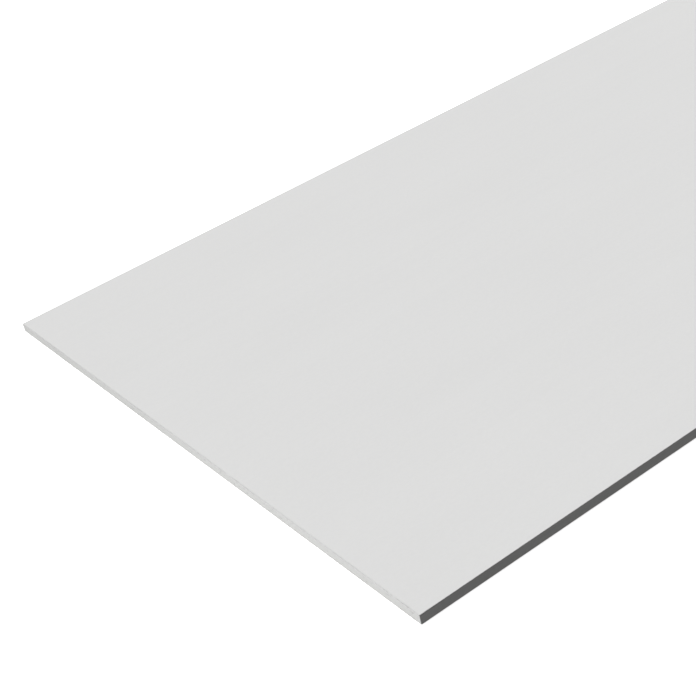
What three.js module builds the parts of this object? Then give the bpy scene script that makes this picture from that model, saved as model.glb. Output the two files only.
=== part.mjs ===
// A sheet of plasterboard (drywall) with square long edges, lying face up.
//
// The board is a foamed gypsum core between two papers. The face paper covers the face, folds
// down round both long edges and turns in under the back as a flap. The back paper is laid on
// last, over the ends of the flaps, and stops short of the long edges. The flap steps up by the
// back paper's thickness where it goes in under it, so the back of the board is level. Both
// ends are cut square across all three layers, so the core shows only there.
//
// Millimetres. X runs along the sheet, Y across it and Z up. The origin is the middle of the
// back, where the sheet rests.

import * as THREE from "three";

const sheetLength = 1800;
const sheetWidth = 900;
const sheetThickness = 12.5;

const facePaperThickness = 0.4;
const backPaperThickness = 0.4;

const faceArrisRadius = 0.7; // outside of the face paper, where it leaves the face
const backArrisRadius = 0.6; // outside of the face paper, where it turns in under the back
const arrisSteps = 6;

const flapWidth = 22; // from the long edge to the end of the flap, under the back paper
const bareFlapWidth = 10; // from the long edge to the edge of the back paper
const flapStepWidth = 1.5; // the slope by which the flap gets in under the back paper

const halfWidth = sheetWidth / 2;
const flapEnd = halfWidth - flapWidth;
const backPaperEdge = halfWidth - bareFlapWidth;

// The middle of an arris's curve, as (y, z), and the radius of the outside of the paper there.
// The side is 1 for the far long edge and -1 for the near one.
function faceArris(side) {
  const radius = faceArrisRadius;
  return { y: side * (halfWidth - radius), z: sheetThickness - radius, radius };
}

function backArris(side) {
  const radius = backArrisRadius;
  return { y: side * (halfWidth - radius), z: radius, radius };
}

// A quarter turn round an arris from one angle in degrees, as points (y, z). The inset is how
// far inside the paper's outer surface the turn is taken.
function quarterTurn(arris, fromAngle, inset) {
  const radius = arris.radius - inset;
  const points = [];
  for (let step = 0; step <= arrisSteps; step++) {
    const angle = THREE.MathUtils.degToRad(fromAngle + (90 * step) / arrisSteps);
    points.push(
      new THREE.Vector2(arris.y + radius * Math.cos(angle), arris.z + radius * Math.sin(angle)),
    );
  }
  return points;
}

// A flap's underside from its end outwards: over the back paper, then down the slope beside it.
function flapUnderside(side, inset) {
  return [
    new THREE.Vector2(side * flapEnd, backPaperThickness + inset),
    new THREE.Vector2(side * backPaperEdge, backPaperThickness + inset),
    new THREE.Vector2(side * (backPaperEdge + flapStepWidth), inset),
  ];
}

// The way round the sheet that the face paper takes: out from under the back paper on the far
// side, up that edge, over the face, down the near edge and in under the back again. The core
// takes the same way at the paper's thickness inside it, so the two fit exactly.
function roundTheSheet(inset) {
  return [
    ...flapUnderside(1, inset),
    ...quarterTurn(backArris(1), -90, inset),
    ...quarterTurn(faceArris(1), 0, inset),
    ...quarterTurn(faceArris(-1), 90, inset),
    ...quarterTurn(backArris(-1), 180, inset),
    ...flapUnderside(-1, inset).reverse(),
  ];
}

// One closed section in the YZ plane, carried along the whole sheet.
function extrudeAlongSheet(sectionPoints) {
  const geometry = new THREE.ExtrudeGeometry(new THREE.Shape(sectionPoints), {
    depth: sheetLength,
    bevelEnabled: false,
  });
  // The section's own axes are x and y and it is extruded along z: turn them to Y, Z and X.
  geometry.applyMatrix4(
    new THREE.Matrix4().makeBasis(
      new THREE.Vector3(0, 1, 0),
      new THREE.Vector3(0, 0, 1),
      new THREE.Vector3(1, 0, 0),
    ),
  );
  geometry.translate(-sheetLength / 2, 0, 0);
  return geometry;
}

// The core fills the fold of the face paper and meets the back paper between the two flaps.
function gypsumCore() {
  const section = [
    ...roundTheSheet(facePaperThickness),
    new THREE.Vector2(-flapEnd, backPaperThickness),
    new THREE.Vector2(flapEnd, backPaperThickness),
  ];
  return new THREE.Mesh(
    extrudeAlongSheet(section),
    new THREE.MeshStandardMaterial({ color: 0xd6d6d4, roughness: 0.95, metalness: 0 }),
  );
}

// One even thickness of paper over the face, round both long edges and in under the back.
function facePaper() {
  const section = [...roundTheSheet(0), ...roundTheSheet(facePaperThickness).reverse()];
  return new THREE.Mesh(
    extrudeAlongSheet(section),
    new THREE.MeshStandardMaterial({ color: 0xdddddd, roughness: 0.9, metalness: 0 }),
  );
}

// A flat sheet over the back of the core and the ends of the flaps.
function backPaper() {
  const section = [
    new THREE.Vector2(-backPaperEdge, 0),
    new THREE.Vector2(backPaperEdge, 0),
    new THREE.Vector2(backPaperEdge, backPaperThickness),
    new THREE.Vector2(-backPaperEdge, backPaperThickness),
  ];
  return new THREE.Mesh(
    extrudeAlongSheet(section),
    new THREE.MeshStandardMaterial({ color: 0xb4afa6, roughness: 0.95, metalness: 0 }),
  );
}

const sheet = new THREE.Group();
const pieces = { gypsum_core: gypsumCore(), face_paper: facePaper(), back_paper: backPaper() };
for (const [name, mesh] of Object.entries(pieces)) {
  mesh.name = name;
  sheet.add(mesh);
}

export default sheet;
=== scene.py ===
import bpy
import numpy as np
from mathutils import Matrix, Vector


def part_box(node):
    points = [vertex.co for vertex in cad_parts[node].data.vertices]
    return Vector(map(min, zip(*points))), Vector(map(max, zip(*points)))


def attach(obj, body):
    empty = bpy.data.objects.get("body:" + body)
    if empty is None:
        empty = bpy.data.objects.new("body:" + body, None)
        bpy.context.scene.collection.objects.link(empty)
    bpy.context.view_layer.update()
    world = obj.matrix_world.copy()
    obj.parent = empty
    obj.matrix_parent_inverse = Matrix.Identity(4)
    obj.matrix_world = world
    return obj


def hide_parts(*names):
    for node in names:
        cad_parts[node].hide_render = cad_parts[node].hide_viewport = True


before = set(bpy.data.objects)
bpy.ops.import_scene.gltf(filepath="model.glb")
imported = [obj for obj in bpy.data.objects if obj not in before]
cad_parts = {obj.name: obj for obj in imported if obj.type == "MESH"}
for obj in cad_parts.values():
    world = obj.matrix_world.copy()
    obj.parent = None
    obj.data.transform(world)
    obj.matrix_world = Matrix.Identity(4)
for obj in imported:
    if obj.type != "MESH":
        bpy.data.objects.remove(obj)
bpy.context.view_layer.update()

# ---------------------------------------------------------------------------------------------
# The face paper. Light grey paper of several plies comes off a roll face down, and the plaster
# is poured on it. Its margins are scored, folded up round the wet edges and turned in over the
# back as flaps, so that one sheet makes the face, both long edges and the flaps.
# ---------------------------------------------------------------------------------------------

paper_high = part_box("face_paper")[1]
core_low, core_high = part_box("gypsum_core")
back_low, back_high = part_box("back_paper")
half_length = paper_high.x
half_width = paper_high.y
face_height = paper_high.z
face_paper_thickness = paper_high.z - core_high.z
back_paper_thickness = back_high.z - back_low.z
back_edge = back_high.y

face_arris_radius = 0.0007
back_arris_radius = 0.0006
arris_steps = 10
flap_width = 0.022
flap_slope_width = 0.0015  # where the flap rises to get in over the back paper
fold_spacing = 0.0003  # between the outline's points
face_spacing = 0.0007
fold_margin = 0.006  # the part of the face beside an arris with points as close as a fold's


def random_lumps(u, v, cell, seed):
    """A random height from -1 to 1 at each corner of a net of square cells, and between the
    corners of each cell a blend of its four that follows half a cosine wave both ways."""
    u, v = (u - u.min()) / cell, (v - v.min()) / cell
    i, j = u.astype(int), v.astype(int)
    heights = np.random.default_rng(seed).uniform(-1, 1, (i.max() + 2, j.max() + 2))
    a, b = (0.5 - 0.5 * np.cos(np.pi * (w - w.astype(int))) for w in (u, v))
    near = heights[i, j] * (1 - a) + heights[i + 1, j] * a
    far = heights[i, j + 1] * (1 - a) + heights[i + 1, j + 1] * a
    return near * (1 - b) + far * b


def flap_underside(y):
    """The height of a flap's outer side: the back paper's thickness above it, and half a cosine
    wave down to zero beside it."""
    past = np.clip((np.abs(y) - back_edge) / flap_slope_width, 0, 1)
    return back_paper_thickness * (0.5 + 0.5 * np.cos(np.pi * past))


def flap(inner_end, outer_end):
    """A flap's outer side as points (y, z), each with its way out."""
    y = np.append(np.arange(inner_end, outer_end, fold_spacing), outer_end)
    return np.column_stack([y, flap_underside(y)]), np.tile([0.0, -1.0], (len(y), 1))


def straight(start, end, spacing, way_out):
    """Evenly spaced points (y, z) from start to end, each with the same way out."""
    start, end = np.array(start), np.array(end)
    count = round(float(np.linalg.norm(end - start)) / spacing) + 1
    share = np.linspace(0, 1, count)[:, None]
    return start + (end - start) * share, np.tile(np.array(way_out, float), (count, 1))


def quarter_turn(middle, radius, first_degrees):
    """Points (y, z) at the radius from the middle through 90 degrees, each with its way out."""
    angle = np.radians(first_degrees + np.linspace(0, 90, arris_steps + 1))
    way_out = np.column_stack([np.cos(angle), np.sin(angle)])
    return np.array(middle) + radius * way_out, way_out


def joined(*stretches):
    """One outline from stretches that each start where the last one ended."""
    kept = [(points[k > 0 :], ways[k > 0 :]) for k, (points, ways) in enumerate(stretches)]
    return tuple(np.concatenate(halves) for halves in zip(*kept))


def mirrored(points, ways_out):
    """An outline that ends at y = 0, carried on by its mirror image."""
    across = np.array([-1, 1])
    return tuple(np.concatenate([half, half[-2::-1] * across]) for half in (points, ways_out))


def grid_quads(numbers):
    """The quads between the neighbours in a grid of point numbers."""
    corners = numbers[:-1, :-1], numbers[:-1, 1:], numbers[1:, 1:], numbers[1:, :-1]
    return np.stack(corners, axis=-1).reshape(-1, 4)


def border(numbers):
    """The point numbers round a grid's border, back to the first, as its quads run."""
    first_row, last_column = numbers[0, :-1], numbers[:-1, -1]
    last_row, first_column = numbers[-1, :0:-1], numbers[::-1, 0]
    return np.concatenate([first_row, last_column, last_row, first_column])


def new_piece(name, points, quads, sharp_degrees):
    """A mesh at the origin, shaded smooth except along edges that turn more than the angle."""
    mesh = bpy.data.meshes.new(name)
    mesh.from_pydata(points.tolist(), [], quads.tolist())
    mesh.shade_smooth()
    mesh.set_sharp_from_angle(angle=np.radians(sharp_degrees))
    piece = bpy.data.objects.new(name, mesh)
    bpy.context.scene.collection.objects.link(piece)
    return piece


def mark(piece, domain, name, values):
    """Stores a number for each face or point, for the piece's finish to read."""
    layer = piece.data.attributes.new(name, "FLOAT", domain)
    layer.data.foreach_set("value", np.asarray(values, np.float32).ravel())


worn_depth = 0.00015
worn_reach = 0.0015


def worn_height(x, y, z):
    """The height to which a point at z sinks, as handling has worn the face's arris round at
    both cut ends: z - depth x unevenness x (1 - distance from the end / reach)^2
    x (z / the sheet's thickness)^4, with two waves along the end for the unevenness."""
    nearness = np.clip(1 - (half_length - np.abs(x)) / worn_reach, 0, 1)
    unevenness = 1 + 0.15 * np.sin(y / 0.011 + x) + 0.10 * np.sin(y / 0.0037 + 2 * x)
    return z - worn_depth * unevenness * nearness**2 * (z / face_height) ** 4


# How far from a cut end the paper's points lie: close together where it is worn and frayed, and
# then far apart.
worn_stations = np.array([0, 0.0002, 0.0004, 0.0006, 0.0009, 0.0012, worn_reach])
stations_from_end = np.append(worn_stations, [0.003, 0.01, 0.1, 0.3, 0.6])
crushed_depth = 0.00010
crushed_length = 0.0006
frayed_depth = 0.00016
frayed_length = 0.0003


def paper_sheet(name, outline, thickness, creases, seed):
    """Paper carried along X from one cut end to the other, as a grid of points: distance along X
    by distance round the outline. Inside = outline - way out x thickness. Outside = outline
    - way out x (crease + crush), where each point of the outline has its own depth of crease and
    the saw's crush is depth x exp(-(distance from the end / length)^2). Both sides stop short
    of the cut by frayed depth x a random share x exp(-(distance / length)^2), and both sink
    where the ends are worn."""
    points, ways_out = outline
    along = np.concatenate([stations_from_end, 2 * half_length - stations_from_end[::-1]])
    along -= half_length
    from_end = half_length - np.abs(along)
    steps = np.linalg.norm(np.diff(points, axis=0), axis=1)
    around = np.concatenate([[0], np.cumsum(steps)])

    def share(cell, number):
        """A random share from 0 to 1 round each end's outline, taken by its half of the grid."""
        ends = [random_lumps(around, 0 * around, cell, [seed, number, end]) for end in (0, 1)]
        return 0.5 + 0.5 * np.where(along[:, None] < 0, *ends)

    crush = crushed_depth * np.exp(-((from_end / crushed_length) ** 2))[:, None]
    fray = frayed_depth * np.exp(-((from_end / frayed_length) ** 2))[:, None]
    outer_inset = crush * share(0.004, 0) + creases
    insets = outer_inset, np.full_like(outer_inset, thickness)
    sides = []
    for number, inset in enumerate(insets, start=1):
        short = fray * (0.6 * share(0.0011, number) + 0.4 * share(0.006, number + 2))
        x = along[:, None] - np.sign(along)[:, None] * short
        y, z = (points[:, axis] - ways_out[:, axis] * inset for axis in (0, 1))
        sides.append(np.stack([x, y, worn_height(x, y, z)], axis=-1).reshape(-1, 3))

    numbers = np.arange(outer_inset.size).reshape(outer_inset.shape)
    outside = grid_quads(numbers)
    inside = outside[:, ::-1] + numbers.size
    rim = border(numbers)
    rim_quads = grid_quads(np.stack([rim + numbers.size, rim]))
    quads = np.concatenate([outside, inside, rim_quads])
    piece = new_piece(name, np.concatenate(sides), quads, 40)
    mark(piece, "FACE", "cut_edge", np.arange(len(quads)) >= 2 * len(outside))
    return piece


side_top = face_height - face_arris_radius
side_bottom = back_arris_radius
face_edge = half_width - face_arris_radius
flap_edge = half_width - back_arris_radius
flap_end = half_width - flap_width
close_face_edge = half_width - fold_margin
face_outline = mirrored(
    *joined(
        flap(flap_end, flap_edge),
        quarter_turn((flap_edge, side_bottom), back_arris_radius, -90),
        straight((half_width, side_bottom), (half_width, side_top), fold_spacing, (1, 0)),
        quarter_turn((face_edge, side_top), face_arris_radius, 0),
        straight((face_edge, face_height), (close_face_edge, face_height), fold_spacing, (0, 1)),
        straight((close_face_edge, face_height), (0, face_height), face_spacing, (0, 1)),
    )
)

crease_depth = 0.00006
crease_width = 0.0004
creases = (half_width, side_bottom), (half_width, side_top)


def creased(y, z):
    """How deep scoring has pressed the paper at a point of the outline, as a share: the sum over
    a long edge's two creases of exp(-(distance from the crease / width)^2)."""
    gaps = [np.hypot(np.abs(y) - crease_y, z - crease_z) for crease_y, crease_z in creases]
    return sum(np.exp(-((gap / crease_width) ** 2)) for gap in gaps)


crease_shares = creased(*face_outline[0].T)
face_liner = paper_sheet(
    "face_liner", face_outline, face_paper_thickness, crease_depth * crease_shares, 11
)
# The finish reads these shares to paint shade into the two scoring creases.
mark(face_liner, "POINT", "crease", np.tile(crease_shares, 4 * len(stations_from_end)))
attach(face_liner, "root")
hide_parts("face_paper")


class Wire:
    """A socket in a finish, so that a finish is written as sums and products of sockets."""

    def __init__(self, tree, socket=None):
        self.tree = tree
        self.socket = socket

    def node(self, kind, settings, values, output=0):
        """Adds a node, with its settings first and then its sockets' values or wires."""
        node = self.tree.nodes.new(kind)
        for name, setting in settings.items():
            setattr(node, name, setting)
        for place, value in values.items():
            if isinstance(value, Wire):
                self.tree.links.new(value.socket, node.inputs[place])
            else:
                node.inputs[place].default_value = value
        return Wire(self.tree, node.outputs[output]) if node.outputs else None

    def math(self, operation, *others):
        values = dict(enumerate([self, *others]))
        return self.node("ShaderNodeMath", {"operation": operation}, values)

    def __add__(self, other):
        return self.math("ADD", other)

    def __sub__(self, other):
        return self.math("SUBTRACT", other)

    def __mul__(self, other):
        return self.math("MULTIPLY", other)

    def __rsub__(self, other):
        return self.math("MULTIPLY_ADD", -1, other)

    def __abs__(self):
        return self.math("ABSOLUTE")

    __radd__ = __add__
    __rmul__ = __mul__

    def part(self, axis):
        """X, Y or Z of a place."""
        return self.node("ShaderNodeSeparateXYZ", {}, {0: self}, axis)

    def rise(self, low, high):
        """0 up to low and 1 from high on, with an S-shaped rise between, or a fall from 1 to 0
        where high is the smaller."""
        return self.node("ShaderNodeMapRange", {"interpolation_type": "SMOOTHSTEP"},
                         {"Value": self, "From Min": low, "From Max": high})

    def grain(self, x, y, z, detail=2.0):
        """Noise from about -1 to 1 over a place, in lumps of the sizes given along X, Y, Z."""
        place = self.node("ShaderNodeVectorMath", {"operation": "MULTIPLY"},
                          {0: self, 1: (1 / x, 1 / y, 1 / z)})
        noise = self.node("ShaderNodeTexNoise", {}, {"Vector": place, "Scale": 1.0,
                                                     "Detail": detail, "Roughness": 0.55})
        return noise * 4 - 2

    def specks(self, apart, radius, share):
        """1 in round specks over a place, one to each cell of the size apart, but only in that
        share of the cells."""
        settings = {"voronoi_dimensions": "3D"}
        values = {"Vector": self, "Scale": 1 / apart}
        speck = self.node("ShaderNodeTexVoronoi", settings, values, "Distance")
        draw = self.node("ShaderNodeTexVoronoi", settings, values, "Color")
        chosen = self.node("ShaderNodeSeparateColor", {}, {0: draw}).rise(share, share - 0.01)
        return speck.rise(radius / apart, 0.5 * radius / apart) * chosen

    def mixed(self, low, high):
        """The number or wire low where this is 0, high where it is 1, and between them."""
        return self.node("ShaderNodeMix", {}, {0: self, 2: low, 3: high})

    def tinted(self, *tint):
        """The number as a colour: a grey of that lightness times the tint."""
        return self.node("ShaderNodeMix", {"data_type": "RGBA", "blend_type": "MULTIPLY"},
                         {0: 1.0, 6: self, 7: (*tint, 1)}, 2)


def finish(piece, name):
    """Gives the piece an empty finish, and returns a wire of the place on the piece."""
    material = bpy.data.materials.new(name)
    material.use_nodes = True
    material.node_tree.nodes.clear()
    piece.data.materials.append(material)
    return Wire(material.node_tree).node("ShaderNodeTexCoord", {}, {}, "Object")


def marked(place, name):
    """A wire of the number that mark stored on the piece."""
    return place.node("ShaderNodeAttribute", {"attribute_name": name}, {}, "Fac")


def matte(place, colour, roughness, height, relief):
    """The shader of a dry, matte surface. Its height, from 0 to 1, stands for the relief."""
    normal = place.node("ShaderNodeBump", {}, {"Strength": 1.0, "Distance": relief,
                                               "Height": height})
    shader = place.node("ShaderNodeBsdfPrincipled", {}, {
        "Base Color": colour, "Roughness": roughness, "Normal": normal,
        "Specular IOR Level": 0.25})
    place.node("ShaderNodeOutputMaterial", {}, {"Surface": shader})


face_grey = 0.66
edge_grey_with_painted_shade = 0.50  # partly painted shade, kept darker than the face so the long edges read as shaded, and partly rubbed and handled, and seen without the sizing of the face
pulp_grey = 0.34
side_fade = 0.0006, 0.0001  # from the side, where its tone starts and where it is full
cut_shade_reach = 0.0020  # how far in from a cut the face is painted darker, as painted shade
cut_shade_full = 0.0006  # and how far in that painted shade is at its full strength
cut_shade_darkening = 0.09

place = finish(face_liner, "face_paper")
fibres = place.grain(0.0030, 0.0004, 0.0004, 3.0)
cloud = place.grain(0.006, 0.004, 0.004)
patch = place.grain(0.25, 0.12, 0.12, 1.0)
streak = place.grain(0.9, 0.014, 0.014)
rub = place.grain(0.045, 0.004, 0.004)
fleck = place.specks(0.012, 0.0005, 0.3)
on_side = abs(place.part("Y")).rise(half_width - side_fade[0], half_width - side_fade[1])
painted_cut_shade = abs(place.part("X")).rise(half_length - cut_shade_reach, half_length - cut_shade_full)
# Painted shade: the side is a fifth darker in its scoring creases, by 1 - 0.2 x the crease
# share.
crease = marked(place, "crease")
cut = marked(place, "cut_edge")
face_tone = face_grey * (1 + 0.012 * fibres + 0.010 * cloud + 0.006 * patch + 0.005 * streak)
# Painted shade: the face darkens by up to 9%, in patches, towards each cut end where its worn
# arris turns from the light.
face_tone = face_tone * (1 - cut_shade_darkening * painted_cut_shade * (1 + 0.3 * rub))
# Painted shade: the long edges take a darker grey than the face, partly standing for their shade
# and partly for handling.
side_tone_with_painted_shade = edge_grey_with_painted_shade * (1 + 0.05 * fibres + 0.05 * rub + 0.03 * cloud) * (1 - 0.2 * crease)
tone = cut.mixed(on_side.mixed(face_tone, side_tone_with_painted_shade), pulp_grey * (1 + 0.15 * fibres))
matte(
    place,
    (tone * (1 - 0.10 * fleck)).tinted(1.0, 1.0, 0.995),
    0.86 + 0.03 * fibres - 0.06 * on_side,
    0.5 + 0.25 * fibres + 0.15 * cloud,
    0.00003,
)

# ---------------------------------------------------------------------------------------------
# The core. Foamed gypsum plaster with a few glass fibres in it sets hard between the papers and
# bonds to them. Only its ends show, sawn square once the board is dry: dusty, scratched by the
# teeth, pitted where the saw opens air bubbles, and crumbled where it meets the papers.
# ---------------------------------------------------------------------------------------------

core_half_width = core_high.y
core_face_radius = face_arris_radius - face_paper_thickness
core_back_radius = back_arris_radius - face_paper_thickness
sawn_spacing = 0.00065
sawn_rows = 24
skin_steps = 3
flap_end_gap = 0.0001  # between the two columns of points at a flap's end


def core_columns():
    """The y of each column of an end: even across it, then with the sine of even angles round
    each face arris, and two close together at each flap's end."""
    angles = np.radians(np.linspace(0, 90, arris_steps + 1))
    round_arris = core_half_width - core_face_radius * (1 - np.sin(angles))
    flat = np.linspace(0, round_arris[0], round(round_arris[0] / sawn_spacing), endpoint=False)
    half = np.sort(np.concatenate([flat, [flap_end - flap_end_gap, flap_end], round_arris]))
    return np.concatenate([-half[:0:-1], half])


def core_reach(y, radius, edge, way):
    """The height of the core's outline at y: the edge's own height, bent in round an arris by
    radius - sqrt(radius^2 - (distance past the arris's middle)^2)."""
    past = np.clip(np.abs(y) - (core_half_width - radius), 0, radius)
    return edge - way * (radius - np.sqrt(radius**2 - past**2))


def opened_bubbles(y, z, cell, smallest, largest, seed):
    """How deep the air bubbles go that a saw cut opens. Each square cell has one ball, at a
    random place and mostly small, and a point takes the deepest of the nine around it:
    sqrt(radius^2 - distance^2), or 0 outside the ball."""
    i, j = ((w - w.min()) // cell + 1 for w in (y, z))
    i, j = i.astype(int), j.astype(int)
    draws = np.random.default_rng(seed).uniform(size=(3, i.max() + 2, j.max() + 2))
    depth = np.zeros_like(y)
    for di in (-1, 0, 1):
        for dj in (-1, 0, 1):
            across, up, size = draws[:, i + di, j + dj]
            ball_y = y.min() + (i + di - 1 + across) * cell
            ball_z = z.min() + (j + dj - 1 + up) * cell
            radius = smallest + (largest - smallest) * size**3
            inside = radius**2 - (y - ball_y) ** 2 - (z - ball_z) ** 2
            depth = np.maximum(depth, np.sqrt(np.maximum(inside, 0)))
    return depth


def sawn_end(y, z, rise, seed):
    """How far in from the cut the gypsum lies, and its bubbles alone. Depth = waves of the blade
    + slanting tooth marks + grain + bubbles + crumbling, which falls off as
    exp(-distance from the paper / 0.5 mm). rise is the height above the lower paper."""
    waves = 0.00005 * (1 + random_lumps(y, z, 0.009, [seed, 1]))
    teeth = 0.00003 * (1 + random_lumps(y + 0.25 * z, 0 * z, 0.0011, [seed, 2]))
    grain = 0.00004 * (1 + random_lumps(y, z, 0.0009, [seed, 3]))
    bubbles = 0.6 * opened_bubbles(y, z, 0.0034, 0.0003, 0.0010, [seed, 4])
    to_paper = np.minimum(rise, rise[:, -1:] - rise)
    loose = 0.5 + 0.5 * random_lumps(y, z, 0.0025, [seed, 5])
    crumbled = 0.00030 * loose * np.exp(-to_paper / 0.0005)
    return waves + teeth + grain + bubbles + crumbled, bubbles


def gypsum_slab(name):
    """The core as two sawn ends and the skin between them. Each end is a grid of columns across
    and rows up between the outline's lower and upper heights. The skin is a grid too: round the
    ends' border, by even steps from each end to the far side of the worn stretch."""
    y = core_columns()
    top = core_reach(y, core_face_radius, core_high.z, 1)
    over_flap = flap_underside(y) + face_paper_thickness
    floor_line = np.where(np.abs(y) >= flap_end, over_flap, core_low.z)
    bottom = core_reach(y, core_back_radius, floor_line, -1)
    z = bottom[:, None] + (top - bottom)[:, None] * np.linspace(0, 1, sawn_rows)
    y = np.broadcast_to(y[:, None], z.shape)
    numbers = np.arange(z.size).reshape(z.shape)
    rim = border(numbers)
    inward = np.linspace(0, 1, skin_steps + 1)[1:, None]
    points, skin_points, bubbles = [], [], []
    for number, way in enumerate((-1, 1)):
        depth, opened = sawn_end(y, z, z - z[:, :1], 20 + number)
        x = way * (half_length - depth)
        points.append(np.stack([x, y, z], axis=-1).reshape(-1, 3))
        skin_x = x.flat[rim] + (way * (half_length - worn_reach) - x.flat[rim]) * inward[::-way]
        across, up = (np.broadcast_to(w.flat[rim], skin_x.shape) for w in (y, z))
        skin_points.append(np.stack([skin_x, across, up], axis=-1)[:, :-1].reshape(-1, 3))
        bubbles.append(opened.ravel())
    points = np.concatenate(points + skin_points)
    points[:, 2] = worn_height(*points.T)
    skin = 2 * z.size + np.arange(2 * skin_steps * (len(rim) - 1)).reshape(2 * skin_steps, -1)
    skin = np.vstack([rim, np.column_stack([skin, skin[:, 0]]), rim + z.size])
    left_end = grid_quads(numbers)
    quads = [left_end, left_end[:, ::-1] + z.size, grid_quads(skin)[:, ::-1]]
    slab = new_piece(name, points, np.concatenate(quads), 70)
    opened = np.zeros(len(points))
    opened[: 2 * z.size] = np.concatenate(bubbles)
    mark(slab, "POINT", "bubble", opened / opened.max())
    return slab


core_slab = gypsum_slab("core_slab")
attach(core_slab, "root")
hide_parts("gypsum_core")

gypsum_grey = 0.775

place = finish(core_slab, "gypsum")
lump = place.grain(0.004, 0.006, 0.004)
crystal = place.grain(0.0006, 0.0006, 0.0006, 3.0)
scratch = place.grain(0.004, 0.0005, 0.012)
dust = place.grain(0.02, 0.05, 0.004)
bubble = marked(place, "bubble")
tone = gypsum_grey * (1 + 0.03 * lump + 0.035 * crystal + 0.025 * scratch + 0.02 * dust)
# Painted shade and dust: the gypsum darkens by up to 45% with the depth of each opened bubble.
matte(
    place,
    (tone * (1 - 0.45 * bubble)).tinted(1.0, 1.0, 0.985),
    0.93 + 0.03 * crystal,
    0.5 + 0.3 * crystal + 0.2 * scratch,
    0.00004,
)

# ---------------------------------------------------------------------------------------------
# The back paper. A cheaper, darker grey paper made of recycled pulp, laid on the wet plaster
# last and pasted down over both flaps. It stops short of the long edges.
# ---------------------------------------------------------------------------------------------

back_outline = straight((-back_edge, back_low.z), (back_edge, back_low.z), face_spacing, (0, -1))
back_liner = paper_sheet("back_liner", back_outline, back_paper_thickness, 0, 31)
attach(back_liner, "root")
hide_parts("back_paper")

back_grey = 0.40

place = finish(back_liner, "back_paper")
fibres = place.grain(0.0028, 0.0006, 0.0006, 3.0)
cloud = place.grain(0.009, 0.006, 0.006)
patch = place.grain(0.20, 0.10, 0.10)
ink = place.specks(0.004, 0.0005, 0.5)
pale = place.specks(0.007, 0.0009, 0.4)
cut = marked(place, "cut_edge")
pulp = back_grey * (1 + 0.05 * fibres + 0.05 * cloud + 0.02 * patch)
tone = cut.mixed(pulp * (1 - 0.3 * ink) * (1 + 0.15 * pale), pulp_grey * (1 + 0.15 * fibres))
matte(
    place,
    tone.tinted(1.0, 0.965, 0.90),
    0.90 + 0.04 * fibres,
    0.5 + 0.3 * fibres + 0.15 * cloud,
    0.00004,
)

# ---------------------------------------------------------------------------------------------
# The studio. A plain white floor glows a little, as a lit table does. Two broad lights come over
# the back left corner and the right end, so that the near long edge stays in the shade, and a
# small lamp lies low in front of the left end. An even dome of light fills everything else.
# ---------------------------------------------------------------------------------------------

floor_reach = 60.0
floor_drop = 0.0002  # keeps the floor clear of the back paper, which rests at zero

floor_corners = floor_reach * np.array([[-1, -1, 0], [1, -1, 0], [1, 1, 0], [-1, 1, 0]])
floor = new_piece("floor", floor_corners - [0, 0, floor_drop], np.array([[0, 1, 2, 3]]), 30)
floor.visible_diffuse = False
floor.visible_glossy = False

place = finish(floor, "floor")
unevenness = place.grain(0.8, 0.8, 0.8)
shader = place.node("ShaderNodeBsdfPrincipled", {}, {
    "Base Color": (0.88 + 0.01 * unevenness).tinted(1, 1, 1), "Roughness": 0.9,
    "Specular IOR Level": 0.0, "Emission Color": (1, 1, 1, 1), "Emission Strength": 0.85})
place.node("ShaderNodeOutputMaterial", {}, {"Surface": shader})

dome_strength = 0.22
world = bpy.data.worlds.new("studio")
world.use_nodes = True
world.node_tree.nodes.clear()
air = Wire(world.node_tree)
seen = air.node("ShaderNodeLightPath", {}, {}, "Is Camera Ray")
dome = air.node("ShaderNodeBackground", {}, {"Color": (1, 1, 1, 1),
                                            "Strength": seen.mixed(dome_strength, 1.05)})
air.node("ShaderNodeOutputWorld", {}, {"Surface": dome})
bpy.context.scene.world = world


def soft_sun(name, strength, heading_degrees, height_degrees, spread_degrees):
    """A light so far off that it is even all over the sheet. It stands at the heading, turned
    from +X towards +Y, and that high above the floor."""
    lamp = bpy.data.lights.new(name, "SUN")
    lamp.energy = np.pi * strength
    lamp.angle = np.radians(spread_degrees)
    light = bpy.data.objects.new(name, lamp)
    tilt = np.radians(90 - height_degrees)
    light.rotation_euler = (0, tilt, np.radians(heading_degrees))
    bpy.context.scene.collection.objects.link(light)


soft_sun("key", 0.91, 150, 47, 24)
soft_sun("kicker", 0.42, 20, 30, 30)

low_strength = 0.13
low_distance = 0.52
low_lamp = bpy.data.lights.new("low", "POINT")
low_lamp.energy = 4 * np.pi**2 * low_strength * low_distance**2
low_lamp.shadow_soft_size = 0.02
low_light = bpy.data.objects.new("low", low_lamp)
low_light.location = (-half_length - low_distance, -0.5 * half_width, 0.02)
bpy.context.scene.collection.objects.link(low_light)

# ---------------------------------------------------------------------------------------------
# The camera. It looks down along the sheet from in front of its left end, so that the far end
# runs out of the view.
# ---------------------------------------------------------------------------------------------

camera_data = bpy.data.cameras.new("camera")
camera_data.sensor_width = 36
camera_data.lens = 79.409
camera_data.clip_end = 200
camera = bpy.data.objects.new("camera", camera_data)
near_corner = np.array([-half_length, -half_width, 0])
camera.location = near_corner + [-0.55864, -0.97654, 0.99818]
heading_degrees = 29.404  # turned from +Y towards +X
downward_degrees = 31.007
roll_degrees = -13.383
heading = Matrix.Rotation(np.radians(-heading_degrees), 3, "Z")
tilt = Matrix.Rotation(np.radians(90 - downward_degrees), 3, "X")
roll = Matrix.Rotation(np.radians(roll_degrees), 3, "Z")
camera.rotation_euler = (heading @ tilt @ roll).to_euler()
bpy.context.scene.collection.objects.link(camera)
bpy.context.scene.camera = camera
bpy.context.scene.view_settings.view_transform = "Standard"
